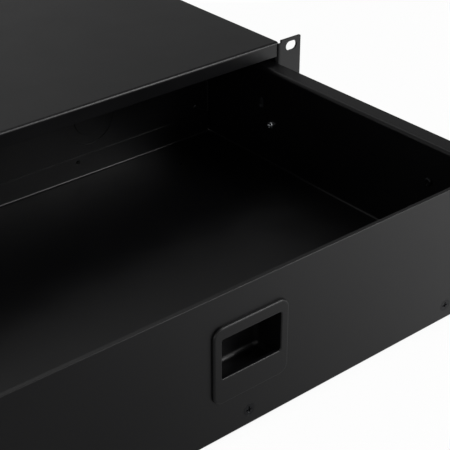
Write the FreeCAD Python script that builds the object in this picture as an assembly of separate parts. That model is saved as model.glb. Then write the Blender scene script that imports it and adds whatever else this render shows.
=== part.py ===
"""Sliding 2U drawer for 19-inch racks, drawn out on ball-bearing slides.

Frame: X to the right, Y towards the rear of the rack, Z up, millimetres.
The origin is the centre of the four rack slots, in the front plane of the ears.
Heights are given above the lower edge of the unit, and depths inside the drawer
behind the outer face of its front panel.
"""
import FreeCAD, Part
import math
import os

V = FreeCAD.Vector
NEAR = 0.01                   # how near a picked edge lies to its place
SHY = 1e-4                    # keeps the round ends of a slot from meeting in a point

# ---- rack unit ------------------------------------------------------------------------
unit_height = 88.1            # 2U panel: two units of 44.45 less the usual gap
ear_span = 482.6              # 19 inch, over both ears
slot_edge_distance = 8.75     # slot centres from the ears' ends
slot_spacing_z = 76.2
slot_length = 10.3
slot_width = 7.1
ear_corner_radius = 0.6
base_z = -unit_height / 2     # lower edge of the unit in the part's frame

# ---- case -----------------------------------------------------------------------------
case_depth = 300.0
side_sheet = 1.5
ear_reach = 21.0              # ear beyond the outer face of its side panel
cover_sheet = 1.2
cover_drop = 0.3              # cover's top face below the top of the ears
lip_height = 10.6             # front lip, over all
rear_lip_height = 10.0
lip_side_gap = 0.3            # lip's end to the side panel
case_bend = 2.0               # inside radius of the ear bend
cover_bend = 0.8              # inside radius of the cover bends
flange_width = 12.0           # side panel's top flange, over all
flange_start = 6.0            # where the top flange starts behind the ears
relief_width = 2.6            # notch beside the ear bend
relief_depth = 2.1
neck_drop = 0.6               # side panel's front corner below the cover sheet
cover_inset = 0.3             # cover's side edges inside the side panels' outer faces
rear_gap = 0.3                # tie bar and top flanges ahead of the rear edge
tie_height = 19.0
tie_tab_length = 14.0
tie_lift = 1.0                # tie bar above the lower edge

# ---- drawer ---------------------------------------------------------------------------
rest_opening = 220.45         # how far the drawer stands open in this model
closed_gap = 1.0              # panel's rear face to the front of the case when shut
panel_inset = 0.8             # panel's ends inside the case's outer faces
panel_thickness = 2.2
panel_edge_radius = 0.4
panel_corner_radius = 1.0
tray_sheet = 1.2
tray_inner_depth = 281.5      # panel's rear face to the back wall
tray_lift = 0.4               # underside above the unit's lower edge
wall_height = 73.0            # top of the drawer wall above the unit's lower edge
top_flange_width = 12.7       # outward, from the inner face of the wall
tray_bend = 1.5
upstand_height = 18.0         # top of the floor's upstands above the unit's lower edge
panel_seam = 0.3              # top flanges' front ends to the panel
corner_relief = 0.6
relief_cut = 1.6              # how far a corner notch reaches past its bend
end_flange_low = 6.0          # flanges at both ends of the walls
end_flange_high = 68.0
rear_flange_width = 22.0      # inward, behind the back wall, from the inner face of the wall
back_panel_gap = 0.1          # back wall's ends to the round of the rear flange's bend
back_top_flange = 10.0

# ---- knock-outs in the back wall ------------------------------------------------------
knockout_x = 98.0
knockout_z = 44.5
knockout_outer_radius = 20.0
knockout_inner_radius = 13.0
knockout_set = 0.6            # half-sheared step
plain_hole_radius = 1.6       # plain holes in the upstand and the floor
back_hole_x = 85.0
back_hole_z = 13.6
floor_hole_x = 154.0
floor_hole_from_back = 30.5

# ---- slides ---------------------------------------------------------------------------
slide_height = 45.0
slide_length = 250.0
slide_width = 12.7            # from the case to the drawer wall
slide_setback = 7.0           # front end behind the front of the case
slide_centre_z = 39.4
slide_sheet = 1.1
lip_edge_gap = 0.3            # curled lips to the drawer's member
outer_ball_radius = 2.0
inner_ball_radius = 1.6
race_clearance = 0.15
middle_web = 3.1              # web of the middle member from the case
inner_member_tip = 5.4        # edges of the drawer's member from the case
lip_hook = 0.7                # curled lip past the centre of its ball
cage_sheet = 0.5
cage_gap = 0.35               # cage's web to the middle member
cage_end_gap = 4.5            # cage to the end of the members' overlap, drawer fully out
balls_per_race = 5
buffer_length = 5.7
buffer_gap = 0.3
buffer_half_height = 9.0
buffer_corner = 1.0

# ---- fasteners ------------------------------------------------------------------------
fit = 0.1                     # radial room of a screw or rivet in its hole
seat = 0.02                   # room under a countersunk head
rivet_radius = 2.0
rivet_head_radius = 4.0
rivet_head_height = 1.3
rivet_tail_radius = 2.8
rivet_tail_height = 0.6
slide_rivet_places = (23.0, 118.0, 213.0)
back_rivet_inset = 12.3       # from the inner face of the drawer wall
back_rivet_heights = (24.5, 60.5)
back_rivet_radius = 1.2
back_rivet_head_radius = 2.3
back_rivet_head_height = 0.7
back_rivet_tail_radius = 1.7
back_rivet_tail_height = 1.4
panel_screw_pitch = 152.4
panel_screw_z = 8.9
corner_screw_out = 7.1        # from the inner face of the drawer wall
corner_screw_z = 62.0
panel_screw_radius = 2.0
panel_screw_head_radius = 3.75
panel_screw_head_height = 1.75
panel_screw_length = 7.0
nut_radius = 3.6
nut_height = 2.0
recess_width = 0.9            # cross recess of the screws
recess_radius = 2.1
recess_root = 0.7
recess_depth = 1.2
slide_screw_radius = 2.0
slide_screw_head_radius = 2.9
slide_screw_head_height = 1.8
slide_screw_head_edge = 1.0
slide_screw_length = 5.5
front_slide_screw = (64.2, 46.9)     # depth behind the panel's outer face, height
rear_slide_screw = (213.0, 32.0)
spare_slot = (223.9, 45.6)
spare_slot_width = 4.4
spare_slot_height = 8.6
bumper_inset = 28.8           # from the inner face of the side panel
bumper_radius = 4.5
bumper_height = 0.7

# ---- recessed pull --------------------------------------------------------------------
bezel_width = 50.2
bezel_low = 23.2
bezel_high = 69.9
bezel_proud = 1.8
bezel_corner = 6.0
bezel_edge = 1.3
window_width = 39.4
window_low = 38.8
window_high = 62.6
window_corner = 1.2
window_edge = 0.85            # rounding of the window's front edge
rim_depth = 0.6               # rear face of the rim round the window
pocket_low = 32.8             # pocket's floor, below the window
pocket_depth = 17.5           # behind the panel's outer face
pocket_wall = 1.6
pocket_corner = 3.6           # between the pocket's floor and sides
pocket_round = 3.5            # between the pocket's back and its floor and sides
cutout_gap = 0.3
boss_radius = 2.2
boss_x = 15.5
boss_root = 0.9               # bosses and pocket run this far into the bezel
boss_margin = 0.7             # bosses to the pocket's cut-out in the panel
pull_screw_radius = 1.1
pull_screw_length = 3.4
pull_screw_head_radius = 2.3
pull_screw_head_height = 1.6
pull_washer_radius = 2.85
pull_washer_height = 0.8

# ---- slam latch -----------------------------------------------------------------------
latch_grip = 3.1              # tip's reach behind the cover's lip
latch_room = 0.3              # tip below the lip with the trigger pulled
pin_depth = 6.0
pin_rise = 1.8                # above the pocket's roof
pin_radius = 1.0
pin_running_fit = 0.06
pin_lug_fit = 0.02
hub_radius = 2.6
trigger_width = 17.0
trigger_reach = 5.5           # below the top of the window
paddle_thickness = 2.4
paddle_edge = 0.96
arm_length = 9.9
arm_width = 6.0
arm_thickness = 1.6
arm_tip_radius = 1.4
bolt_width = 12.0
bolt_thickness = 2.4
bolt_window_room = 0.1
bolt_foot = 1.6               # bar under the window
nose_width = 17.0
nose_thickness = 2.7
tip_width = 14.0
tip_depth = 4.8               # front face of the tip behind the panel's outer face
tip_length = 4.5
tip_flat = 1.0
tip_heel_rise = 0.9           # straight part of the tip above the nose
tip_edge = 0.4
tip_front_edge = 0.2
guide_wall = 1.2
guide_room = 0.3
guide_rise = 4.4              # guide's top above the pocket's roof
guide_lip = 1.9               # how far the guide's lips reach round the bolt
lug_thickness = 2.0
lug_gap = 0.8                 # lugs to the trigger
post_sink = 1.1               # lugs and guides start this far down in the roof
spring_radius = 1.8
spring_wire = 0.25
spring_turns = 5
spring_x = 6.5
spring_depth = 10.9
spring_end_gap = 0.05
slot_room = 0.3               # roof slots round the moving pieces
arm_room = 0.4                # beside the trigger's arm
boss_short = 0.2              # bosses end inside the panel's thickness

# ---- places worked out from the sizes above -------------------------------------------
wall_out = ear_span / 2 - ear_reach
wall_in = wall_out - side_sheet
slot_spacing_x = ear_span - 2 * slot_edge_distance
panel_width = 2 * (wall_out - panel_inset)
cover_top = unit_height - cover_drop
cover_under = cover_top - cover_sheet
drawer_y = -closed_gap - panel_thickness - rest_opening
lip_low = cover_top - lip_height
tray_out = wall_in - slide_width
tray_in = tray_out - tray_sheet
floor_top = tray_lift + tray_sheet
back_depth = panel_thickness + tray_inner_depth
rear_flange_depth = back_depth + tray_sheet
tail_depth = rear_flange_depth + tray_sheet
tray_corner = tray_bend + tray_sheet
corner_screw_x = tray_in + corner_screw_out
bumper_x = wall_in - bumper_inset
slide_travel = slide_length   # the slides open by their own length
moving_length = slide_length - buffer_length - buffer_gap
cage_length = moving_length - slide_travel / 2 - 2 * cage_end_gap
cage_start = slide_setback + cage_end_gap + slide_travel / 4
outer_race_z = slide_height / 2 - slide_sheet - outer_ball_radius - race_clearance
middle_half_height = outer_race_z - outer_ball_radius - race_clearance
inner_race_z = middle_half_height - slide_sheet - inner_ball_radius - race_clearance
inner_half_height = inner_race_z - inner_ball_radius - race_clearance
lip_reach = slide_width - slide_sheet - lip_edge_gap
lip_inside = lip_reach - slide_sheet
outer_race_x = lip_inside - outer_ball_radius - race_clearance
inner_race_x = lip_inside - inner_ball_radius - race_clearance
roof_z = window_high + pocket_wall
boss_low_z = pocket_low - pocket_wall - cutout_gap - boss_margin - boss_radius
boss_high_z = roof_z + cutout_gap + boss_margin + boss_radius
pin_z = roof_z + pin_rise
trigger_low = window_high - trigger_reach
latch_travel = latch_grip + latch_room
guide_top = roof_z + guide_rise
nose_low = guide_top + latch_travel + guide_room
tip_top = lip_low + latch_grip
tip_heel = nose_low + nose_thickness + tip_heel_rise
post_low = roof_z - post_sink
lug_near = trigger_width / 2 + lug_gap
arm_end = pin_depth + arm_length
bolt_front = arm_end - bolt_thickness / 2
bolt_back = arm_end + bolt_thickness / 2
window_bottom = pin_z - arm_tip_radius - bolt_window_room
window_top = pin_z + arm_tip_radius + bolt_window_room


# ---- helpers --------------------------------------------------------------------------
PLANES = {"xz": lambda u, v, level: V(u, level, v),
          "yz": lambda u, v, level: V(level, u, v),
          "xy": lambda u, v, level: V(u, v, level)}
NORMALS = {"xz": V(0, 1, 0), "yz": V(1, 0, 0), "xy": V(0, 0, 1)}


def rounded_corner(before, corner, after, radius):
    """Tangent points and middle of the arc that rounds one corner of an outline."""
    a = (before - corner).normalize()
    b = (after - corner).normalize()
    half = a.getAngle(b) / 2
    reach = radius / math.tan(half)
    middle = corner + (a + b).normalize() * (radius / math.sin(half) - radius)
    return corner + a * reach, middle, corner + b * reach


def outline(plane, level, points, radii):
    """Face inside a closed outline, each corner rounded by its own radius."""
    corners = [PLANES[plane](u, v, level) for u, v in points]
    stretches = []
    for i, radius in enumerate(radii):
        if radius > 0:
            after = corners[(i + 1) % len(corners)]
            stretches.append(rounded_corner(corners[i - 1], corners[i], after, radius))
        else:
            stretches.append((corners[i],))
    edges = []
    for i, stretch in enumerate(stretches):
        if len(stretch) == 3:
            edges.append(Part.Arc(*stretch).toShape())
        start = stretch[-1]
        end = stretches[(i + 1) % len(stretches)][0]
        if start.distanceToPoint(end) > 1e-6:
            edges.append(Part.LineSegment(start, end).toShape())
    return Part.Face(Part.Wire(edges))


def prism(plane, level, height, points, radii):
    """Straight solid on an outline, from level to level + height."""
    return outline(plane, level, points, radii).extrude(NORMALS[plane] * height)


def line_meet(p, p_way, q, q_way):
    """Where two lines in a plane cross, each given by a point and a direction."""
    cross = p_way[0] * q_way[1] - p_way[1] * q_way[0]
    along = ((q[0] - p[0]) * q_way[1] - (q[1] - p[1]) * q_way[0]) / cross
    return (p[0] + along * p_way[0], p[1] + along * p_way[1])


def folded(plane, level, height, path, sheet, bend, side):
    """Folded sheet: a path along one face, the sheet on its left (1) or right (-1)."""
    ways = []
    for (u0, v0), (u1, v1) in zip(path, path[1:]):
        run = math.hypot(u1 - u0, v1 - v0)
        ways.append(((u1 - u0) / run, (v1 - v0) / run))
    shift = [(-way[1] * sheet * side, way[0] * sheet * side) for way in ways]
    other = [(path[0][0] + shift[0][0], path[0][1] + shift[0][1])]
    near_radii = [0.0]
    far_radii = [0.0]
    for i in range(1, len(ways)):
        before = (path[i][0] + shift[i - 1][0], path[i][1] + shift[i - 1][1])
        after = (path[i][0] + shift[i][0], path[i][1] + shift[i][1])
        other.append(line_meet(before, ways[i - 1], after, ways[i]))
        turn = ways[i - 1][0] * ways[i][1] - ways[i - 1][1] * ways[i][0]
        towards_sheet = turn * side > 0
        near_radii.append(bend + sheet if towards_sheet else bend)
        far_radii.append(bend if towards_sheet else bend + sheet)
    other.append((path[-1][0] + shift[-1][0], path[-1][1] + shift[-1][1]))
    near_radii.append(0.0)
    far_radii.append(0.0)
    return prism(plane, level, height, path + other[::-1], near_radii + far_radii[::-1])


def box(x0, x1, y0, y1, z0, z1):
    return Part.makeBox(x1 - x0, y1 - y0, z1 - z0, V(x0, y0, z0))


def rod(radius, start, end):
    """Round bar between two points."""
    way = V(*end) - V(*start)
    return Part.makeCylinder(radius, way.Length, V(*start), way)


def along_y(radius, x, z, start, end):
    """Round bar from front to rear."""
    return rod(radius, (x, start, z), (x, end, z))


def cone(start_radius, end_radius, start, end):
    way = V(*end) - V(*start)
    return Part.makeCone(start_radius, end_radius, way.Length, V(*start), way)


def stadium(plane, level, height, centre, length, width):
    """Straight slot with round ends, its length along the first axis of the plane."""
    u, v = centre
    half = length / 2
    points = [(u - half, v - width / 2), (u + half, v - width / 2),
              (u + half, v + width / 2), (u - half, v + width / 2)]
    return prism(plane, level, height, points, [width / 2 - SHY] * 4)


def framed(plane, level, height, low, high, radius):
    """Rectangular block between two corners of a plane, its upright edges rounded."""
    points = [(low[0], low[1]), (high[0], low[1]), (high[0], high[1]), (low[0], high[1])]
    return prism(plane, level, height, points, [radius] * 4)


def fuse(*shapes):
    return shapes[0].multiFuse(list(shapes[1:])).removeSplitter()


def dome(radius, height):
    """Domed rivet head seated at y = 0, rising towards -Y."""
    ball = (radius ** 2 + height ** 2) / (2 * height)
    whole = Part.makeSphere(ball, V(0, ball - height, 0))
    return whole.common(box(-2 * radius, 2 * radius, -2 * height, 0, -2 * radius, 2 * radius))


def mirrored(shape):
    return shape.mirror(V(0, 0, 0), V(1, 0, 0))


def pair(shape):
    """A piece of the right side with its twin on the left, as separate solids."""
    return Part.makeCompound([shape, mirrored(shape)])


def shifted(shape, x=0.0, y=0.0, z=0.0):
    return shape.translated(V(x, y, z))


def edges_at(shape, test):
    """Edges whose every vertex passes the test."""
    return [edge for edge in shape.Edges if all(test(vertex.Point) for vertex in edge.Vertexes)]


# ---- case -----------------------------------------------------------------------------
def side_panel():
    """Right side: wall, rack ear with slots, and the flange that carries the cover."""
    ear_end = ear_span / 2
    wall = folded("xy", 0, unit_height, [(wall_in, case_depth), (wall_in, 0), (ear_end, 0)],
                  side_sheet, case_bend, 1)
    corners = [edge for edge in edges_at(wall, lambda p: p.x > ear_end - NEAR)
               if edge.BoundBox.YLength > side_sheet / 2 and edge.BoundBox.ZLength < side_sheet / 2]
    wall = wall.makeFillet(ear_corner_radius, corners)
    fold = case_bend + side_sheet
    notch_end = wall_out + relief_width
    neck_top = cover_under - neck_drop
    wall = wall.cut(box(wall_in - 1, notch_end, flange_start, case_depth + 1,
                        cover_under - fold, unit_height + 1))
    wall = wall.cut(box(wall_in - 1, notch_end, -1, flange_start, neck_top, unit_height + 1))
    wall = wall.cut(box(wall_out, notch_end, -1, side_sheet + 1, -1, relief_depth))
    flange_length = case_depth - cover_sheet - cover_bend - rear_gap - flange_start
    path = [(wall_out, cover_under - fold), (wall_out, cover_under), (wall_out - flange_width, cover_under)]
    flange = folded("xz", flange_start, flange_length, path, side_sheet, case_bend, 1)
    panel = fuse(wall, flange)
    for z in (unit_height / 2 - slot_spacing_z / 2, unit_height / 2 + slot_spacing_z / 2):
        slot = stadium("xz", -1, side_sheet + 2, (slot_spacing_x / 2, z), slot_length, slot_width)
        panel = panel.cut(slot)
    for y, z in slide_rivet_points() + tie_rivet_points():
        panel = panel.cut(rod(rivet_radius + fit, (wall_in - 1, y, z), (wall_out + 1, y, z)))
    return panel


def top_cover():
    """Cover sheet with a lip along the front and the rear edge, between the side panels."""
    half = wall_out - cover_inset
    profile = [(0, lip_low), (0, cover_top), (case_depth, cover_top),
               (case_depth, cover_top - rear_lip_height)]
    cover = folded("yz", -half, 2 * half, profile, cover_sheet, cover_bend, -1)
    lip_end = wall_in - lip_side_gap
    for x in (-half - 1, lip_end):
        cover = cover.cut(box(x, x + half + 1 - lip_end, -1, case_depth + 1, 0, cover_under))
    return cover


def slide_rivet_points():
    return [(slide_setback + place, slide_centre_z) for place in slide_rivet_places]


def tie_rivet_points():
    return [(case_depth - rear_gap - tie_tab_length / 2, tie_lift + tie_height / 2)]


def rear_tie_bar():
    """Strip across the rear that holds the side panels apart, with a tab at each end."""
    rear = case_depth - rear_gap
    tab = rear - tie_tab_length
    path = [(wall_in, tab), (wall_in, rear), (-wall_in, rear), (-wall_in, tab)]
    bar = folded("xy", tie_lift, tie_height, path, cover_sheet, cover_bend, 1)
    for y, z in tie_rivet_points():
        bar = bar.cut(rod(rivet_radius + fit, (-wall_in - 1, y, z), (wall_in + 1, y, z)))
    return bar


def rivet(inner_x, y, z):
    """Rivet through the right side panel: domed head outside, flat tail at inner_x."""
    head = dome(rivet_head_radius, rivet_head_height)
    head.rotate(V(0, 0, 0), V(0, 0, 1), 90)
    head.translate(V(wall_out, y, z))
    shank = rod(rivet_radius, (inner_x, y, z), (wall_out, y, z))
    tail = rod(rivet_tail_radius, (inner_x - rivet_tail_height, y, z), (inner_x, y, z))
    return fuse(shank, head, tail)


def slide_rivets():
    return Part.makeCompound([rivet(wall_in - slide_sheet, y, z) for y, z in slide_rivet_points()])


def tie_rivets():
    return Part.makeCompound([rivet(wall_in - cover_sheet, y, z) for y, z in tie_rivet_points()])


# ---- slides ---------------------------------------------------------------------------
def member(path, front, length, curl):
    """Slide member: its section stands off the inner face of the right side panel."""
    section = [(wall_in - x, slide_centre_z + z) for x, z in path]
    return folded("xz", front, length, section, slide_sheet, curl, -1)


def channel(web, tip, half_height, hook_z):
    """Section of a member open towards the drawer, with its edges curled round the balls."""
    return [(tip, hook_z), (tip, half_height), (web, half_height),
            (web, -half_height), (tip, -half_height), (tip, -hook_z)]


def slide_outer():
    path = channel(0, lip_reach, slide_height / 2, outer_race_z - lip_hook)
    outer = member(path, slide_setback, slide_length, outer_ball_radius + race_clearance)
    for y, z in slide_rivet_points():
        hole = rod(rivet_radius + fit, (wall_in - slide_width, y, z), (wall_in + 1, y, z))
        outer = outer.cut(hole)
    return outer


def slide_middle():
    path = channel(middle_web, lip_reach, middle_half_height, inner_race_z - lip_hook)
    return member(path, slide_setback, moving_length, inner_ball_radius + race_clearance)


def slide_inner():
    path = [(inner_member_tip, inner_half_height), (slide_width, inner_half_height),
            (slide_width, -inner_half_height), (inner_member_tip, -inner_half_height)]
    section = [(wall_in - x, slide_centre_z + z) for x, z in path]
    inner = folded("xz", slide_setback, moving_length, section, slide_sheet, slide_sheet / 2, 1)
    for depth, z in (front_slide_screw, rear_slide_screw):
        y = depth - closed_gap - panel_thickness
        inner = inner.cut(rod(slide_screw_radius + fit, (tray_in, y, z), (wall_in, y, z)))
    return inner


def ball_places():
    """Centres of a cage's balls along the slide."""
    pitch = cage_length / balls_per_race
    return [cage_start + pitch * (i + 0.5) for i in range(balls_per_race)]


def ball_cage(web, race_x, race_z, ball_radius):
    """Thin channel that spaces the balls, with an open pocket for each one."""
    reach = lip_inside - race_clearance * 2
    path = [(reach, race_z + cage_sheet / 2), (web, race_z + cage_sheet / 2),
            (web, -race_z - cage_sheet / 2), (reach, -race_z - cage_sheet / 2)]
    section = [(wall_in - x, slide_centre_z + z) for x, z in path]
    cage = folded("xz", cage_start, cage_length, section, cage_sheet, cage_sheet, -1)
    low = slide_centre_z - race_z - cage_sheet
    high = slide_centre_z + race_z + cage_sheet
    for y in ball_places():
        x = wall_in - race_x
        cage = cage.cut(rod(ball_radius + race_clearance, (x, y, low), (x, y, high)))
    return cage


def ball_row(race_x, race_z, ball_radius):
    balls = []
    for y in ball_places():
        for z in (slide_centre_z - race_z, slide_centre_z + race_z):
            balls.append(Part.makeSphere(ball_radius, V(wall_in - race_x, y, z)))
    return Part.makeCompound(balls)


def slide_buffer():
    """Plastic stop in the rear end of the outer member."""
    low = (wall_in - lip_reach, slide_centre_z - buffer_half_height)
    high = (wall_in - slide_sheet, slide_centre_z + buffer_half_height)
    rear = slide_setback + slide_length
    return framed("xz", rear - buffer_length, buffer_length, low, high, buffer_corner)


# ---- drawer ---------------------------------------------------------------------------
def drawer_tray():
    """Floor, walls and outward top flanges from one sheet, with upstands and end flanges."""
    reach = tray_in + top_flange_width
    start = panel_thickness + panel_seam
    section = [(reach, wall_height), (tray_in, wall_height), (tray_in, floor_top),
               (-tray_in, floor_top), (-tray_in, wall_height), (-reach, wall_height)]
    tray = folded("xz", start, tail_depth - start, section, tray_sheet, tray_bend, 1)
    front_notch = panel_thickness + tray_corner + relief_cut
    rear_notch = back_depth - tray_corner - relief_cut
    wall_notch = rear_flange_depth - tray_corner
    floor_half = tray_in - tray_bend
    for y, end in ((0, front_notch), (rear_notch, tail_depth + 1)):
        tray = tray.cut(box(-floor_half, floor_half, y, end, 0, upstand_height))
    for x in (-reach - 1, tray_in - 1):
        for y, end in ((0, front_notch), (wall_notch, tail_depth + 1)):
            tray = tray.cut(box(x, x + top_flange_width + 2, y, end,
                                end_flange_low - corner_relief, end_flange_high + corner_relief))
    stands = [upstand([(panel_thickness, upstand_height), (panel_thickness, tray_lift),
                       (front_notch, tray_lift)]),
              upstand([(rear_notch, tray_lift), (back_depth, tray_lift), (back_depth, upstand_height)])]
    front = end_flange([(reach, panel_thickness), (tray_in, panel_thickness), (tray_in, front_notch)])
    rear = end_flange([(tray_in, wall_notch), (tray_in, rear_flange_depth),
                       (tray_in - rear_flange_width, rear_flange_depth)])
    tray = fuse(tray, *stands, front, mirrored(front), rear, mirrored(rear))
    return tray.cut(Part.makeCompound(tray_holes()))


def upstand(profile):
    """Edge of the floor folded up between the relief slots of its corners."""
    half = tray_in - tray_bend - corner_relief
    return folded("yz", -half, 2 * half, profile, tray_sheet, tray_bend, 1)


def end_flange(profile):
    """Flange on one end of the right drawer wall."""
    height = end_flange_high - end_flange_low
    return folded("xy", end_flange_low, height, profile, tray_sheet, tray_bend, -1)


def tray_holes():
    """Holes for the screws and rivets, spare slots, and plain holes in the upstand and floor."""
    holes = back_holes()
    slot_low = (spare_slot[0] - spare_slot_width / 2, spare_slot[1] - spare_slot_height / 2)
    slot_high = (spare_slot[0] + spare_slot_width / 2, spare_slot[1] + spare_slot_height / 2)
    hole_y = back_depth - floor_hole_from_back
    for side in (-1, 1):
        for depth, z in (front_slide_screw, rear_slide_screw):
            start = (side * (tray_in - 1), depth, z)
            holes.append(rod(slide_screw_radius + fit, start, (side * (tray_out + 1), depth, z)))
        slot = framed("yz", tray_in - 1, tray_sheet + 2, slot_low, slot_high, spare_slot_width / 2 - SHY)
        holes.append(slot if side > 0 else mirrored(slot))
        x = side * floor_hole_x
        holes.append(rod(plain_hole_radius, (x, hole_y, 0), (x, hole_y, floor_top + 1)))
    for x, z in panel_screw_points():
        holes.append(along_y(panel_screw_radius + fit, x, z, 0, panel_thickness + tray_corner))
    return holes


def back_holes():
    """Holes that the back wall shares with the tray: rivets, and a plain pair low down."""
    front = back_depth - 2 * tray_sheet
    end = tail_depth + 1
    holes = [along_y(plain_hole_radius, side * back_hole_x, back_hole_z, front, end) for side in (-1, 1)]
    for x, z in back_rivet_points():
        holes.append(along_y(back_rivet_radius + fit, x, z, front, end))
    return holes


def back_panel():
    """Rear wall with a top flange and two half-sheared knock-outs."""
    end = tray_in - tray_bend - back_panel_gap
    low = tray_lift + tray_corner
    web_top = wall_height - tray_corner - relief_cut
    panel = box(-end, end, back_depth, rear_flange_depth, low, web_top)
    half = tray_in - tray_corner - corner_relief
    profile = [(back_depth, web_top), (back_depth, wall_height), (back_depth + back_top_flange, wall_height)]
    panel = fuse(panel, folded("yz", -half, 2 * half, profile, tray_sheet, tray_bend, -1))
    for side in (-1, 1):
        x = side * knockout_x
        whole = along_y(knockout_outer_radius, x, knockout_z, back_depth, rear_flange_depth)
        disc = along_y(knockout_inner_radius, x, knockout_z, back_depth, rear_flange_depth)
        ring = shifted(whole.cut(disc), y=knockout_set)
        panel = fuse(panel.cut(whole), ring, disc)
    return panel.cut(Part.makeCompound(back_holes()))


def back_rivet_points():
    x = tray_in - back_rivet_inset
    return [(side * x, z) for side in (-1, 1) for z in back_rivet_heights]


def back_rivets():
    """Rivets that hold the back wall against the walls' rear flanges."""
    rivets = []
    tail_end = tail_depth + back_rivet_tail_height
    for x, z in back_rivet_points():
        head = shifted(dome(back_rivet_head_radius, back_rivet_head_height), x, back_depth, z)
        shank = along_y(back_rivet_radius, x, z, back_depth, tail_depth)
        tail = along_y(back_rivet_tail_radius, x, z, tail_depth, tail_end)
        rivets.append(fuse(head, shank, tail))
    return Part.makeCompound(rivets)


def panel_screw_points():
    points = [(0, panel_screw_z)]
    for side in (-1, 1):
        points.append((side * panel_screw_pitch, panel_screw_z))
        points.append((side * corner_screw_x, corner_screw_z))
    return points


def front_panel():
    """Plain plate with eased front edges, a cut-out for the pull and countersunk holes."""
    low = (-panel_width / 2, 0)
    high = (panel_width / 2, unit_height)
    panel = framed("xz", 0, panel_thickness, low, high, panel_corner_radius)
    panel = panel.makeFillet(panel_edge_radius, edges_at(panel, lambda p: p.y < NEAR))
    panel = panel.cut(pocket_block(-1, pocket_wall + cutout_gap))
    for x, z in boss_points():
        panel = panel.cut(along_y(boss_radius + cutout_gap / 2, x, z, -1, panel_thickness + 1))
    for x, z in panel_screw_points():
        panel = panel.cut(along_y(panel_screw_radius + fit, x, z, -1, panel_thickness + 1))
        panel = panel.cut(cone(panel_screw_head_radius + fit, panel_screw_radius + fit,
                               (x, 0, z), (x, panel_screw_head_height + seat, z)))
    return panel


def cross_recess():
    """Tapered cross, mouth at y = 0, running towards +Y."""
    half = recess_width / 2
    wings = box(-recess_radius, recess_radius, 0, recess_depth, -half, half)
    wings = wings.fuse(box(-half, half, 0, recess_depth, -recess_radius, recess_radius))
    return wings.common(cone(recess_radius, recess_root, (0, 0, 0), (0, recess_depth, 0)))


def countersunk_screw():
    head = cone(panel_screw_head_radius, panel_screw_radius, (0, 0, 0), (0, panel_screw_head_height, 0))
    shank = rod(panel_screw_radius, (0, panel_screw_head_height, 0), (0, panel_screw_length, 0))
    return fuse(head, shank).cut(cross_recess())


def pan_screw(head_radius, head_height, edge, radius, length):
    """Pan-head screw along +Y, its head seated at y = 0."""
    head = rod(head_radius, (0, -head_height, 0), (0, 0, 0))
    head = head.makeFillet(edge, edges_at(head, lambda p: p.y < -head_height + NEAR)[:1])
    return fuse(head, rod(radius, (0, 0, 0), (0, length, 0)))


def panel_screws():
    screw = countersunk_screw()
    return Part.makeCompound([shifted(screw, x, seat, z) for x, z in panel_screw_points()])


def clinch_nuts():
    nuts = []
    start = panel_thickness + tray_sheet
    end = start + nut_height
    for x, z in panel_screw_points():
        bore = along_y(panel_screw_radius + fit / 2, x, z, start - 1, end + 1)
        nuts.append(along_y(nut_radius, x, z, start, end).cut(bore))
    return Part.makeCompound(nuts)


def slide_screws(place):
    """The screw on each side that holds the drawer wall to the slide at one place."""
    depth, z = place
    screw = pan_screw(slide_screw_head_radius, slide_screw_head_height, slide_screw_head_edge,
                      slide_screw_radius, slide_screw_length)
    screw = screw.cut(shifted(cross_recess(), 0, -slide_screw_head_height, 0))
    screw.rotate(V(0, 0, 0), V(0, 0, 1), -90)
    return pair(shifted(screw, tray_in, depth, z))


def panel_bumpers():
    z = cover_top - lip_height / 2
    return pair(along_y(bumper_radius, bumper_x, z, panel_thickness, panel_thickness + bumper_height))


# ---- recessed pull --------------------------------------------------------------------
def boss_points():
    return [(side * boss_x, z) for side in (-1, 1) for z in (boss_low_z, boss_high_z)]


def pocket_block(front, margin):
    """Block as large as the pocket and a margin all round, its floor and back edges rounded."""
    half = window_width / 2 + margin
    low = pocket_low - margin
    high = window_high + margin
    rear = pocket_depth + margin
    corner = pocket_corner + margin
    points = [(-half, low), (half, low), (half, high), (-half, high)]
    block = prism("xz", front, rear - front, points, [corner, corner, 0, 0])
    back_edges = [edge for edge in edges_at(block, lambda p: p.y > rear - NEAR)
                  if edge.BoundBox.ZMin < high - corner]
    return block.makeFillet(pocket_round + margin, back_edges)


def pull_housing():
    """Moulded pull: bezel, pocket, screw bosses, trigger lugs and the bolt's guide."""
    half = bezel_width / 2
    front = -bezel_proud
    bezel = framed("xz", front, bezel_proud, (-half, bezel_low), (half, bezel_high), bezel_corner)
    bezel = bezel.makeFillet(bezel_edge, edges_at(bezel, lambda p: p.y < front + NEAR))
    low = (-window_width / 2, window_low)
    high = (window_width / 2, window_high)
    window = framed("xz", front - 1, rim_depth - front + 1, low, high, window_corner)
    housing = fuse(bezel, pocket_block(-boss_root, pocket_wall)).cut(window)
    rim = [edge for edge in edges_at(housing, lambda p: p.y < front + NEAR)
           if within_window(edge.BoundBox)]
    housing = housing.makeFillet(window_edge, rim).cut(pocket_block(rim_depth, 0))
    boss_end = panel_thickness - boss_short
    bosses = [along_y(boss_radius, x, z, -boss_root, boss_end) for x, z in boss_points()]
    housing = fuse(housing, *bosses, *trigger_lugs(), *bolt_guides())
    bore = pull_screw_radius + fit / 2
    bores = [along_y(bore, x, z, -boss_root, panel_thickness) for x, z in boss_points()]
    return housing.cut(Part.makeCompound(roof_slots() + bores))


def within_window(bounds):
    """Whether an edge lies on the window's outline."""
    return bounds.XMax < window_width / 2 + NEAR and bounds.XMin > -window_width / 2 - NEAR \
        and bounds.ZMin > window_low - NEAR and bounds.ZMax < window_high + NEAR


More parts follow.
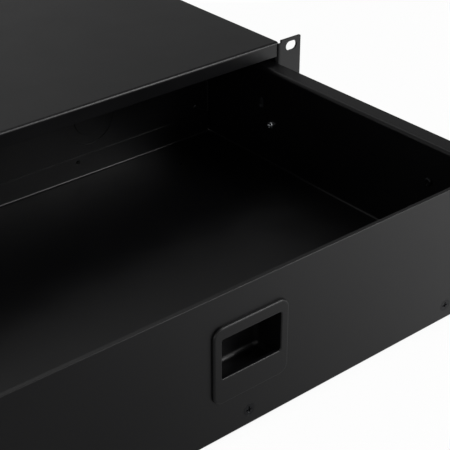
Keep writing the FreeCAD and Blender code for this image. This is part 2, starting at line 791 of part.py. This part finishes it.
def trigger_lugs():
    """Two posts on the pocket's roof that carry the trigger's pin."""
    lugs = []
    for x in (lug_near, -lug_near - lug_thickness):
        end = x + lug_thickness
        post = box(x, end, pin_depth - hub_radius, pin_depth + hub_radius, post_low, pin_z)
        eye = rod(hub_radius, (x, pin_depth, pin_z), (end, pin_depth, pin_z))
        bore = rod(pin_radius + pin_lug_fit, (x - 1, pin_depth, pin_z), (end + 1, pin_depth, pin_z))
        lugs.append(post.fuse(eye).cut(bore))
    return lugs


def bolt_guides():
    """Two channels on the pocket's roof that hold the bolt's edges."""
    inner = bolt_width / 2 + guide_room
    outer = inner + guide_wall
    front = bolt_front - guide_room - guide_wall
    back = bolt_back + guide_room + guide_wall
    path = [(inner - guide_lip, front), (outer, front), (outer, back), (inner - guide_lip, back)]
    guide = folded("xy", post_low, guide_top - post_low, path, guide_wall, guide_room / 2, 1)
    return [guide, mirrored(guide)]


def roof_slots():
    """Openings in the pocket's roof for the trigger, its arm and the bolt."""
    low = window_high - pocket_wall
    high = roof_z + pocket_wall
    trigger_half = trigger_width / 2 + slot_room
    arm_half = arm_width / 2 + arm_room
    bolt_half = bolt_width / 2 + guide_room
    trigger_back = pin_depth + hub_radius + slot_room
    slot_front = bolt_front - guide_room
    return [box(-trigger_half, trigger_half, pin_depth - hub_radius - slot_room, trigger_back, low, high),
            box(-arm_half, arm_half, trigger_back, slot_front, low, high),
            box(-bolt_half, bolt_half, slot_front, bolt_back + guide_room, low, high)]


def housing_screws():
    """Washer-head screws behind the panel, in the pull's bosses."""
    screw = pan_screw(pull_screw_head_radius, pull_screw_head_height, pull_screw_head_height / 2,
                      pull_screw_radius, pull_screw_length)
    screw = fuse(screw, rod(pull_washer_radius, (0, 0, 0), (0, pull_washer_height, 0)))
    screw.rotate(V(0, 0, 0), V(0, 0, 1), 180)
    seat_y = panel_thickness + pull_washer_height
    return Part.makeCompound([shifted(screw, x, seat_y, z) for x, z in boss_points()])


# ---- slam latch -----------------------------------------------------------------------
def latch_pin():
    half = lug_near + lug_thickness
    return rod(pin_radius, (-half, pin_depth, pin_z), (half, pin_depth, pin_z))


def latch_trigger():
    """Bell crank: finger paddle below the pin, arm towards the bolt behind it."""
    half = trigger_width / 2
    arm_half = arm_width / 2
    hub = rod(hub_radius, (-half, pin_depth, pin_z), (half, pin_depth, pin_z))
    front = pin_depth - paddle_thickness / 2
    back = front + paddle_thickness
    points = [(front, trigger_low), (back, trigger_low), (back, pin_z), (front, pin_z)]
    paddle = prism("yz", -half, trigger_width, points, [paddle_edge, paddle_edge, 0, 0])
    arm = box(-arm_half, arm_half, pin_depth, arm_end, pin_z - arm_thickness / 2, pin_z + arm_thickness / 2)
    tip = rod(arm_tip_radius, (-arm_half, arm_end, pin_z), (arm_half, arm_end, pin_z))
    bore = rod(pin_radius + pin_running_fit, (-half - 1, pin_depth, pin_z), (half + 1, pin_depth, pin_z))
    return fuse(hub, paddle, arm, tip).cut(bore)


def latch_bolt():
    """Bolt: bevelled tip, nose over the trigger, stem with the window for the arm."""
    nose_top = nose_low + nose_thickness
    nose = box(-nose_width / 2, nose_width / 2, tip_depth, bolt_back, nose_low, nose_top)
    heel = tip_depth + tip_length
    profile = [(tip_depth, nose_low), (heel, nose_low), (heel, tip_heel),
               (tip_depth + tip_flat, tip_top), (tip_depth, tip_top)]
    tip = prism("yz", -tip_width / 2, tip_width, profile, [0, 0, tip_edge, tip_edge, tip_front_edge])
    foot = window_bottom - bolt_foot
    stem = box(-bolt_width / 2, bolt_width / 2, bolt_front, bolt_back, foot, nose_top)
    window_half = arm_width / 2 + arm_room
    window = box(-window_half, window_half, bolt_front - 1, bolt_back + 1, window_bottom, window_top)
    return fuse(nose, tip, stem).cut(window)


def latch_spring():
    """Compression spring between the pocket's roof and the bolt's nose."""
    low = roof_z + spring_wire + spring_end_gap
    height = nose_low - roof_z - 2 * (spring_wire + spring_end_gap)
    path = Part.makeHelix(height / spring_turns, height, spring_radius)
    start = V(spring_radius, 0, 0)
    profile = Part.Wire(Part.makeCircle(spring_wire, start, V(0, 1, 0)))
    coil = Part.Wire(path).makePipeShell([profile], True, True)
    return shifted(coil, spring_x, spring_depth, low)


# ---- parts and their places -----------------------------------------------------------
def case_parts():
    """Pieces that stay with the rack."""
    side = side_panel()
    outer = slide_outer()
    return {"top_cover": top_cover(),
            "side_panel_right": side,
            "side_panel_left": mirrored(side),
            "rear_tie_bar": rear_tie_bar(),
            "tie_bar_rivets": pair(tie_rivets()),
            "slide_rivets": pair(slide_rivets()),
            "slide_outer_right": outer,
            "slide_outer_left": mirrored(outer),
            "slide_buffers": pair(slide_buffer())}


def slide_parts():
    """Moving pieces of the slides, each with its share of the drawer's travel."""
    middle = slide_middle()
    outer_web = middle_web - cage_gap - cage_sheet
    inner_web = middle_web + slide_sheet + cage_gap
    outer_cage = ball_cage(outer_web, outer_race_x, outer_race_z, outer_ball_radius)
    inner_cage = ball_cage(inner_web, inner_race_x, inner_race_z, inner_ball_radius)
    shares = {"slide_middle": (middle, 0.5),
              "ball_cage_outer": (outer_cage, 0.25),
              "ball_cage_inner": (inner_cage, 0.75),
              "balls_outer": (ball_row(outer_race_x, outer_race_z, outer_ball_radius), 0.25),
              "balls_inner": (ball_row(inner_race_x, inner_race_z, inner_ball_radius), 0.75),
              "slide_inner": (slide_inner(), 1.0)}
    parts = {}
    for name, (shape, share) in shares.items():
        moved = shifted(shape, y=-share * rest_opening)
        parts[name + "_right"] = moved
        parts[name + "_left"] = mirrored(moved)
    return parts


def drawer_parts():
    """Pieces of the drawer, standing open."""
    parts = {"drawer_tray": drawer_tray(),
             "back_panel": back_panel(),
             "back_rivets": back_rivets(),
             "front_panel": front_panel(),
             "panel_screws": panel_screws(),
             "clinch_nuts": clinch_nuts(),
             "slide_screws_front": slide_screws(front_slide_screw),
             "slide_screws_rear": slide_screws(rear_slide_screw),
             "panel_bumpers": panel_bumpers(),
             "pull_housing": pull_housing(),
             "housing_screws": housing_screws(),
             "latch_pin": latch_pin(),
             "latch_trigger": latch_trigger(),
             "latch_bolt": latch_bolt(),
             "latch_springs": pair(latch_spring())}
    return {name: shifted(shape, y=drawer_y) for name, shape in parts.items()}


def main():
    os.makedirs("parts", exist_ok=True)
    parts = {**case_parts(), **slide_parts(), **drawer_parts()}
    for name, shape in parts.items():
        placed = shifted(shape, z=base_z)
        if not placed.isValid():
            raise ValueError(name + " is not a valid shape")
        placed.exportStep("parts/" + name + ".step")
        print(name, len(placed.Solids), round(placed.Volume, 1))


main()
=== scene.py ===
import math

import bmesh
import bpy
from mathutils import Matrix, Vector


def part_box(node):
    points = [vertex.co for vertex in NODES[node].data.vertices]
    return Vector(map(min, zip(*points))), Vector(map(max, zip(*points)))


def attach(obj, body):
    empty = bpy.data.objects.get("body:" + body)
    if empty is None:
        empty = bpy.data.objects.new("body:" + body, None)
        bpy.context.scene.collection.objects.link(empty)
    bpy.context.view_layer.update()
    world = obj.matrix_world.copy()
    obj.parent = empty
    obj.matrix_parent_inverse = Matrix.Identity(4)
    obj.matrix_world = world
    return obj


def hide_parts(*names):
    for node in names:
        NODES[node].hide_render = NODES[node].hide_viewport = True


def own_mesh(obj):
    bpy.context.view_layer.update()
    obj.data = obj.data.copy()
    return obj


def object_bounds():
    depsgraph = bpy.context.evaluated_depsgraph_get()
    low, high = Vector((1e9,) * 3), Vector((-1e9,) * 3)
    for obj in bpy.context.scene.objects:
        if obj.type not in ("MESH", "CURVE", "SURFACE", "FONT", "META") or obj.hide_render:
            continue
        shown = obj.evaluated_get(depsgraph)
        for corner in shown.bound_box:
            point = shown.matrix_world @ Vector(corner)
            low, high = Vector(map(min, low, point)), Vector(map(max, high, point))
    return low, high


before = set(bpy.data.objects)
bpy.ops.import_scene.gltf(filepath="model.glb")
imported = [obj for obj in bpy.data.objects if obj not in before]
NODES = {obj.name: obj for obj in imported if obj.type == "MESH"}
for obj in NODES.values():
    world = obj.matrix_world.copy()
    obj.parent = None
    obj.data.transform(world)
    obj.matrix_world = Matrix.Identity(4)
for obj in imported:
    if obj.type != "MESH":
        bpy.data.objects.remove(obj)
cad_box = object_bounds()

MM = 0.001

# ---- finishes -------------------------------------------------------------------------
PATTERN_LOW = 0.3             # most values of a cloudy pattern lie between these two
PATTERN_HIGH = 0.7
BEVEL_SAMPLES = 4

# ---- latch springs --------------------------------------------------------------------
SPRING_WIRE = 0.25            # radius of the wire, mm
OPEN_TURNS = 4                # between one closed turn at each end
STEPS_PER_TURN = 32
WIRE_SIDES = 10

# ---- floor and surroundings -----------------------------------------------------------
FLOOR_REACH = 6.0             # half the side of the floor
FLOOR_GAP = 0.0002            # floor below the lowest edge of the unit
WHITE_SHARE = 0.97            # of the floor's brightness that no shadow reaches
PAINTED_POOL_FAR = 0.22              # painted pool of the key softbox's light: what a reflection sees of the paper away from the key softbox
PAPER_START = -0.10           # X where the painted pool starts to brighten the paper
PAPER_END = 0.40              # and where it is white
COVER_REACH = 0.3             # how far the floor looks for what covers it
COVER_SAMPLES = 16
COVERED_BELOW = 0.28          # share of open sky below which the floor is painted dark grey, as shade
BARE_ABOVE = 0.45             # and above which it is as bright as in the open
AMBIENT = 0.45                # light of the surroundings on the object
WALL_RISE = 0.0               # sine of the elevation where the walls start to fade
CEILING_RISE = 0.35           # and where they have become the ceiling
CEILING = 0.26                # brightness of the ceiling against the walls
DIM_SIDE = 0.4                # brightness of the room towards +X against the other sides

# ---- lamps and camera -----------------------------------------------------------------
SOFTBOXES = (                 # name, azimuth and elevation in degrees, distance, width, height, watts
    ("key_softbox", 42, 33, 1.4, 0.4, 0.4, 6.0),
    ("low_softbox", 26, 17, 1.4, 1.3, 0.35, 2.4),
    ("left_softbox", -55, 13, 1.4, 0.3, 0.3, 0.8),
    ("back_softbox", 168, 34, 1.8, 1.4, 0.9, 0.4),
    ("top_softbox", 145, 55, 1.6, 0.6, 0.5, 0.8),
)
CAMERA_PLACE = (-0.34561, -0.61646, 0.37991)
CAMERA_TURN = (59.865, 0.0, -39.957)
LENS_MM = 101.25
SENSOR_MM = 36.0
NEAREST_SEEN = 0.05
FARTHEST_SEEN = 50.0


# ---- colours, nodes and materials -----------------------------------------------------
def colour(code):
    """Linear colour with alpha of an sRGB hex value."""
    parts = [int(code[i:i + 2], 16) / 255 for i in (1, 3, 5)]
    linear = [p / 12.92 if p <= 0.04045 else ((p + 0.055) / 1.055) ** 2.4 for p in parts]
    return (*linear, 1.0)


def add_node(tree, kind, inputs=None, **settings):
    """Adds a shader node: settings are its options, inputs are values or other nodes' outputs."""
    made = tree.nodes.new("ShaderNode" + kind)
    for name, value in settings.items():
        setattr(made, name, value)
    for socket, value in (inputs or {}).items():
        if isinstance(value, bpy.types.NodeSocket):
            tree.links.new(value, made.inputs[socket])
        else:
            made.inputs[socket].default_value = value
    return made


def per_metre(size_mm):
    """Texture scale at which one feature of a pattern is about this many millimetres."""
    return 1000.0 / size_mm


def new_material(name):
    """Empty node material, with its surface shader and its part-frame coordinates."""
    made = bpy.data.materials.new(name)
    made.use_nodes = True
    tree = made.node_tree
    tree.nodes.clear()
    surface = add_node(tree, "BsdfPrincipled")
    add_node(tree, "OutputMaterial", {"Surface": surface.outputs["BSDF"]})
    where = add_node(tree, "TexCoord").outputs["Object"]
    return made, tree, surface, where


def tone(tree, surface, pattern, dark, light, tint=None):
    """Base colour between two hex values, led by a pattern, under a tint where one is given."""
    shade = add_node(tree, "Mix", {"Factor": pattern, "A": colour(dark), "B": colour(light)},
                     data_type="RGBA")
    if tint:
        shade = add_node(tree, "Mix", {"Factor": 1.0, "A": shade.outputs["Result"], "B": tint},
                         data_type="RGBA", blend_type="MULTIPLY")
    tree.links.new(shade.outputs["Result"], surface.inputs["Base Color"])


def polish(tree, surface, pattern, smooth, rough):
    """Roughness between two values, led by a pattern."""
    shine = add_node(tree, "MapRange", {"Value": pattern, "From Min": PATTERN_LOW, "From Max": PATTERN_HIGH,
                                        "To Min": smooth, "To Max": rough})
    tree.links.new(shine.outputs["Result"], surface.inputs["Roughness"])


def relief(tree, surface, edge_mm, *hills):
    """Rounds sharp edges, then lays patterns over them: each has its height, its depth in mm
    and its strength."""
    rounded = add_node(tree, "Bevel", {"Radius": edge_mm * MM}, samples=BEVEL_SAMPLES)
    normal = rounded.outputs["Normal"]
    for height, depth_mm, strength in hills:
        raised = add_node(tree, "Bump", {"Height": height, "Distance": depth_mm * MM,
                                         "Strength": strength, "Normal": normal})
        normal = raised.outputs["Normal"]
    tree.links.new(normal, surface.inputs["Normal"])


def satin_powder_coat():
    """Polyester powder melted on folded steel: a fine orange peel softens every reflection,
    and the film draws round the cut edges, so they catch a thin line of light."""
    made, tree, surface, where = new_material("satin_powder_coat")
    film = add_node(tree, "TexNoise", {"Vector": where, "Scale": per_metre(38.0), "Detail": 3.0})
    peel = add_node(tree, "TexNoise", {"Vector": where, "Scale": per_metre(1.3), "Detail": 2.0})
    grit = add_node(tree, "TexNoise", {"Vector": where, "Scale": per_metre(0.4), "Detail": 3.0,
                                       "Roughness": 0.6})
    surface.inputs["IOR"].default_value = 1.45
    tone(tree, surface, film.outputs["Fac"], "#08080A", "#0A0A0C")
    polish(tree, surface, film.outputs["Fac"], 0.34, 0.39)
    relief(tree, surface, 0.3, (peel.outputs["Fac"], 0.03, 0.35), (grit.outputs["Fac"], 0.02, 0.3))
    return made


def grained_abs():
    """Black ABS moulded against a spark-eroded tool: an even fine grain, as glossy as the
    coat beside it, with soft moulded edges."""
    made, tree, surface, where = new_material("grained_abs")
    flow = add_node(tree, "TexNoise", {"Vector": where, "Scale": per_metre(22.0), "Detail": 2.0})
    grain = add_node(tree, "TexNoise", {"Vector": where, "Scale": per_metre(0.3), "Detail": 4.0,
                                        "Roughness": 0.65})
    surface.inputs["IOR"].default_value = 1.45
    tone(tree, surface, flow.outputs["Fac"], "#08080A", "#0A0A0C")
    polish(tree, surface, grain.outputs["Fac"], 0.34, 0.42)
    relief(tree, surface, 0.25, (grain.outputs["Fac"], 0.02, 0.35))
    return made


def rolled_zinc():
    """Bright zinc on cold-rolled strip: faint lines along the rolling direction, a cool
    passivated tint in patches and a soft metallic shine."""
    made, tree, surface, where = new_material("rolled_zinc")
    long_way = add_node(tree, "Mapping", {"Vector": where, "Scale": (1.0, 0.02, 1.0)})
    lines = add_node(tree, "TexNoise", {"Vector": long_way.outputs["Vector"], "Scale": per_metre(0.5),
                                        "Detail": 3.0, "Roughness": 0.6})
    patches = add_node(tree, "TexNoise", {"Vector": where, "Scale": per_metre(16.0), "Detail": 3.0})
    cool = add_node(tree, "Mix", {"Factor": patches.outputs["Fac"], "A": colour("#F4F2EA"),
                                  "B": colour("#E6EDF6")}, data_type="RGBA")
    surface.inputs["Metallic"].default_value = 1.0
    tone(tree, surface, lines.outputs["Fac"], "#A9AEB3", "#CDD1D4", cool.outputs["Result"])
    polish(tree, surface, lines.outputs["Fac"], 0.24, 0.38)
    relief(tree, surface, 0.15, (lines.outputs["Fac"], 0.01, 0.25))
    return made


def plated_screw_steel():
    """Zinc-plated screw: tumbled in the plating barrel, so it shines brighter than strip
    and its edges are worn round."""
    made, tree, surface, where = new_material("plated_screw_steel")
    marks = add_node(tree, "TexNoise", {"Vector": where, "Scale": per_metre(0.9), "Detail": 4.0,
                                        "Roughness": 0.6})
    surface.inputs["Metallic"].default_value = 1.0
    tone(tree, surface, marks.outputs["Fac"], "#B4B8BC", "#DADCDE")
    polish(tree, surface, marks.outputs["Fac"], 0.18, 0.32)
    relief(tree, surface, 0.12, (marks.outputs["Fac"], 0.01, 0.2))
    return made


def black_oxide_steel():
    """Blackened screw steel: the oxide is a thin dark skin over turned metal, so only its
    edges and the recess glint."""
    made, tree, surface, where = new_material("black_oxide_steel")
    skin = add_node(tree, "TexNoise", {"Vector": where, "Scale": per_metre(1.1), "Detail": 3.0})
    surface.inputs["Metallic"].default_value = 0.7
    tone(tree, surface, skin.outputs["Fac"], "#1A1A1C", "#2A2B2E")
    polish(tree, surface, skin.outputs["Fac"], 0.30, 0.42)
    relief(tree, surface, 0.12, (skin.outputs["Fac"], 0.01, 0.2))
    return made


def ground_bearing_steel():
    """Ground and lapped chrome-steel balls under a film of oil: near mirrors."""
    made, tree, surface, where = new_material("ground_bearing_steel")
    oil = add_node(tree, "TexNoise", {"Vector": where, "Scale": per_metre(2.0), "Detail": 2.0})
    surface.inputs["Metallic"].default_value = 1.0
    tone(tree, surface, oil.outputs["Fac"], "#C4C6C8", "#D8DADC")
    polish(tree, surface, oil.outputs["Fac"], 0.06, 0.14)
    return made


def moulded_rubber():
    """Moulded black rubber: dull, with a light bloom."""
    made, tree, surface, where = new_material("moulded_rubber")
    bloom = add_node(tree, "TexNoise", {"Vector": where, "Scale": per_metre(3.0), "Detail": 4.0,
                                        "Roughness": 0.6})
    surface.inputs["IOR"].default_value = 1.52
    surface.inputs["Specular IOR Level"].default_value = 0.25
    tone(tree, surface, bloom.outputs["Fac"], "#131313", "#1E1E1E")
    polish(tree, surface, bloom.outputs["Fac"], 0.62, 0.78)
    relief(tree, surface, 0.2, (bloom.outputs["Fac"], 0.02, 0.3))
    return made


def moulded_nylon():
    """Natural black nylon stop, injection moulded: waxy and even."""
    made, tree, surface, where = new_material("moulded_nylon")
    flow = add_node(tree, "TexNoise", {"Vector": where, "Scale": per_metre(4.0), "Detail": 2.0})
    surface.inputs["IOR"].default_value = 1.53
    surface.inputs["Specular IOR Level"].default_value = 0.35
    tone(tree, surface, flow.outputs["Fac"], "#1B1B1C", "#232325")
    polish(tree, surface, flow.outputs["Fac"], 0.42, 0.52)
    relief(tree, surface, 0.3)
    return made


def drawn_spring_wire():
    """Drawn spring wire, plated: fine lines round the wire and a grey shine."""
    made, tree, surface, where = new_material("drawn_spring_wire")
    lines = add_node(tree, "TexNoise", {"Vector": where, "Scale": per_metre(0.2), "Detail": 3.0,
                                        "Roughness": 0.6})
    surface.inputs["Metallic"].default_value = 1.0
    tone(tree, surface, lines.outputs["Fac"], "#8E9194", "#B5B8BB")
    polish(tree, surface, lines.outputs["Fac"], 0.26, 0.36)
    return made


def dress(finish, *names):
    """Gives CAD nodes one finish, in every material slot that they have."""
    for name in names:
        mesh = NODES[name].data
        mesh.materials.clear()
        mesh.materials.append(finish)


def both_sides(*names):
    """Names of the right and the left node of each pair."""
    return [name + side for name in names for side in ("_right", "_left")]


def finish_the_nodes():
    """Powder coat on the folded steel, and each other piece in its own finish."""
    coat = satin_powder_coat()
    plastic = grained_abs()
    zinc = rolled_zinc()
    bright_screw = plated_screw_steel()
    black_screw = black_oxide_steel()
    bearing = ground_bearing_steel()
    rubber = moulded_rubber()
    nylon = moulded_nylon()
    dress(coat, "top_cover", "rear_tie_bar", "drawer_tray", "back_panel", "back_rivets", "front_panel")
    dress(coat, *both_sides("side_panel"))
    dress(plastic, "pull_housing", "latch_trigger")
    dress(nylon, "slide_buffers", "latch_bolt")
    dress(zinc, *both_sides("slide_outer", "slide_middle", "slide_inner"))
    dress(zinc, *both_sides("ball_cage_outer", "ball_cage_inner"), "clinch_nuts")
    dress(bright_screw, "slide_rivets", "tie_bar_rivets", "slide_screws_rear", "latch_pin")
    dress(black_screw, "panel_screws", "slide_screws_front", "housing_screws")
    dress(bearing, *both_sides("balls_outer", "balls_inner"))
    dress(rubber, "panel_bumpers")


# ---- latch springs --------------------------------------------------------------------
def wound_wire(foot, radius, height):
    """Points and faces of a compression spring that stands on its foot, both end turns closed."""
    wire_radius = SPRING_WIRE * MM
    turns = OPEN_TURNS + 2
    closed_pitch = 2 * wire_radius
    open_pitch = (height - 2 * wire_radius - 2 * closed_pitch) / OPEN_TURNS
    steps = turns * STEPS_PER_TURN
    points = []
    for step in range(steps + 1):
        turn = step / STEPS_PER_TURN
        opened = min(max(turn - 1, 0), OPEN_TURNS)
        rise = wire_radius + open_pitch * opened + closed_pitch * (turn - opened)
        outward = Vector((math.cos(math.tau * turn), math.sin(math.tau * turn), 0.0))
        centre = Vector(foot) + outward * radius + Vector((0.0, 0.0, rise))
        for side in range(WIRE_SIDES):
            around = math.tau * side / WIRE_SIDES
            lift = Vector((0.0, 0.0, math.sin(around) * wire_radius))
            points.append(centre + outward * (math.cos(around) * wire_radius) + lift)
    last = steps * WIRE_SIDES
    faces = [tuple(range(WIRE_SIDES)), tuple(range(last, last + WIRE_SIDES))[::-1]]
    for here in range(0, last, WIRE_SIDES):
        there = here + WIRE_SIDES
        for side in range(WIRE_SIDES):
            after = (side + 1) % WIRE_SIDES
            faces.append((here + side, there + side, there + after, here + after))
    return points, faces


def wind_latch_springs():
    """The latch's pair of springs with closed end turns, wound at the length of the latch_springs node; the
    real springs shorten as the bolt is pulled.
    """
    low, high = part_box("latch_springs")
    outer = (high[1] - low[1]) / 2
    radius = outer - SPRING_WIRE * MM
    height = high[2] - low[2]
    points, faces = [], []
    for x in (low[0] + outer, high[0] - outer):
        spring_points, spring_faces = wound_wire((x, low[1] + outer, low[2]), radius, height)
        faces += [tuple(i + len(points) for i in face) for face in spring_faces]
        points += spring_points
    mesh = bpy.data.meshes.new("latch_spring_coils")
    mesh.from_pydata(points, [], faces)
    shell = bmesh.new()
    shell.from_mesh(mesh)
    bmesh.ops.recalc_face_normals(shell, faces=shell.faces)
    for face in shell.faces:
        face.smooth = len(face.verts) == 4      # the wire is round, its cut ends are flat
    shell.to_mesh(mesh)
    shell.free()
    mesh.materials.append(drawn_spring_wire())
    coils = bpy.data.objects.new("latch_spring_coils", mesh)
    bpy.context.scene.collection.objects.link(coils)
    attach(coils, "drawer")
    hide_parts("latch_springs")
    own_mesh(coils)


# ---- studio ---------------------------------------------------------------------------
def seen_directly(tree):
    """1 where the camera, a reflection or a clear part looks at the background, else 0."""
    path = add_node(tree, "LightPath").outputs
    eye_or_shine = add_node(tree, "Math", {0: path["Is Camera Ray"], 1: path["Is Glossy Ray"]},
                            operation="MAXIMUM")
    any_look = add_node(tree, "Math", {0: eye_or_shine.outputs[0], 1: path["Is Transmission Ray"]},
                        operation="MAXIMUM")
    return any_look.outputs[0]


def white_to_camera(tree, strength):
    """The same strength to every ray, except that the camera itself sees 1."""
    path = add_node(tree, "LightPath").outputs
    return add_node(tree, "Math", {0: strength, 1: path["Is Camera Ray"]}, operation="MAXIMUM").outputs[0]


def outside_the_case(tree, place):
    """0 on the floor that the case stands over, where shade is painted, else 1."""
    low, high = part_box("top_cover")
    across = add_node(tree, "Math", {0: place["X"], 1: 0.0, 2: high[0]}, operation="COMPARE")
    along = add_node(tree, "Math", {0: place["Y"], 1: (low[1] + high[1]) / 2, 2: (high[1] - low[1]) / 2},
                     operation="COMPARE")
    inside = add_node(tree, "Math", {0: across.outputs[0], 1: along.outputs[0]}, operation="MULTIPLY")
    return add_node(tree, "Math", {0: 1.0, 1: inside.outputs[0]}, operation="SUBTRACT").outputs[0]


def white_paper():
    """Matt white background paper: white to the eye, with the object's shadow kept, a painted pool
    of the key softbox's light in what reflections see of it, and painted shade, a dark grey, where the object
    covers it."""
    made = bpy.data.materials.new("white_paper")
    made.use_nodes = True
    tree = made.node_tree
    tree.nodes.clear()
    place = add_node(tree, "SeparateXYZ", {"Vector": add_node(tree, "TexCoord").outputs["Object"]}).outputs
    # painted pool of light: reflections see the paper dimmer away from the key softbox, towards -X
    painted_pool = add_node(tree, "MapRange", {"Value": place["X"], "From Min": PAPER_START,
                                           "From Max": PAPER_END, "To Min": PAINTED_POOL_FAR},
                        interpolation_type="SMOOTHSTEP")
    strength = white_to_camera(tree, painted_pool.outputs["Result"])
    plain = add_node(tree, "Emission", {"Color": colour("#FFFFFF"), "Strength": strength})
    lit = add_node(tree, "BsdfDiffuse", {"Color": colour("#FAFAFA")})
    share = add_node(tree, "Math", {0: seen_directly(tree), 1: WHITE_SHARE}, operation="MULTIPLY")
    bright = add_node(tree, "MixShader", {0: share.outputs[0], 1: lit.outputs[0], 2: plain.outputs[0]})
    sky = add_node(tree, "AmbientOcclusion", {"Distance": COVER_REACH}, samples=COVER_SAMPLES)
    bare = add_node(tree, "MapRange", {"Value": sky.outputs["AO"], "From Min": COVERED_BELOW,
                                       "From Max": BARE_ABOVE})
    in_the_open = add_node(tree, "Math", {0: bare.outputs["Result"], 1: outside_the_case(tree, place)},
                           operation="MULTIPLY")
    # painted shade: a dark grey paper in place of the white under the case and where little open sky reaches
    dark = add_node(tree, "BsdfDiffuse", {"Color": colour("#1C1C1C")})
    paper = add_node(tree, "MixShader", {0: in_the_open.outputs[0], 1: dark.outputs[0], 2: bright.outputs[0]})
    add_node(tree, "OutputMaterial", {"Surface": paper.outputs[0]})
    return made


def lay_floor():
    """Sheet of white paper just below the unit."""
    level = cad_box[0][2] - FLOOR_GAP
    corners = [(x * FLOOR_REACH, y * FLOOR_REACH, level) for x, y in ((-1, -1), (1, -1), (1, 1), (-1, 1))]
    mesh = bpy.data.meshes.new("studio_floor")
    mesh.from_pydata(corners, [], [(0, 1, 2, 3)])
    mesh.materials.append(white_paper())
    floor = bpy.data.objects.new("studio_floor", mesh)
    bpy.context.scene.collection.objects.link(floor)


def light_surroundings():
    """Room with pale walls, a darker ceiling and one darker side."""
    world = bpy.data.worlds.new("white_studio")
    world.use_nodes = True
    tree = world.node_tree
    tree.nodes.clear()
    way = add_node(tree, "SeparateXYZ", {"Vector": add_node(tree, "TexCoord").outputs["Generated"]}).outputs
    walls = add_node(tree, "MapRange", {"Value": way["Z"], "From Min": WALL_RISE, "From Max": CEILING_RISE,
                                        "To Min": 1.0, "To Max": CEILING}, interpolation_type="SMOOTHSTEP")
    sides = add_node(tree, "MapRange", {"Value": way["X"], "To Min": 1.0, "To Max": DIM_SIDE})
    room = add_node(tree, "Math", {0: sides.outputs["Result"], 1: walls.outputs["Result"]},
                    operation="MULTIPLY")
    looked_at = add_node(tree, "MapRange", {"Value": seen_directly(tree), "To Min": AMBIENT})
    strength = add_node(tree, "Math", {0: looked_at.outputs["Result"], 1: room.outputs[0]},
                        operation="MULTIPLY")
    backdrop = add_node(tree, "Background", {"Color": colour("#FFFFFF"),
                                             "Strength": white_to_camera(tree, strength.outputs[0])})
    add_node(tree, "OutputWorld", {"Surface": backdrop.outputs[0]})
    bpy.context.scene.world = world


def hang_softbox(name, azimuth, elevation, distance, width, height, watts):
    """Rectangular soft lamp aimed at the object's middle."""
    middle = (Vector(cad_box[0]) + Vector(cad_box[1])) / 2
    turn, rise = math.radians(azimuth), math.radians(elevation)
    outward = Vector((math.sin(turn) * math.cos(rise), -math.cos(turn) * math.cos(rise), math.sin(rise)))
    lamp = bpy.data.lights.new(name, "AREA")
    lamp.shape = "RECTANGLE"
    lamp.size = width
    lamp.size_y = height
    lamp.energy = watts
    holder = bpy.data.objects.new(name, lamp)
    holder.location = middle + outward * distance
    holder.rotation_euler = (-outward).to_track_quat("-Z", "Y").to_euler()
    bpy.context.scene.collection.objects.link(holder)


def place_camera():
    """Camera at the front left, looking down across the open drawer."""
    lens = bpy.data.cameras.new("camera")
    lens.sensor_width = SENSOR_MM
    lens.lens = LENS_MM
    lens.clip_start = NEAREST_SEEN
    lens.clip_end = FARTHEST_SEEN
    camera = bpy.data.objects.new("camera", lens)
    camera.location = CAMERA_PLACE
    camera.rotation_euler = [math.radians(turn) for turn in CAMERA_TURN]
    bpy.context.scene.collection.objects.link(camera)
    bpy.context.scene.camera = camera


finish_the_nodes()
wind_latch_springs()
lay_floor()
light_surroundings()
for softbox in SOFTBOXES:
    hang_softbox(*softbox)
place_camera()
bpy.context.scene.view_settings.view_transform = "Standard"
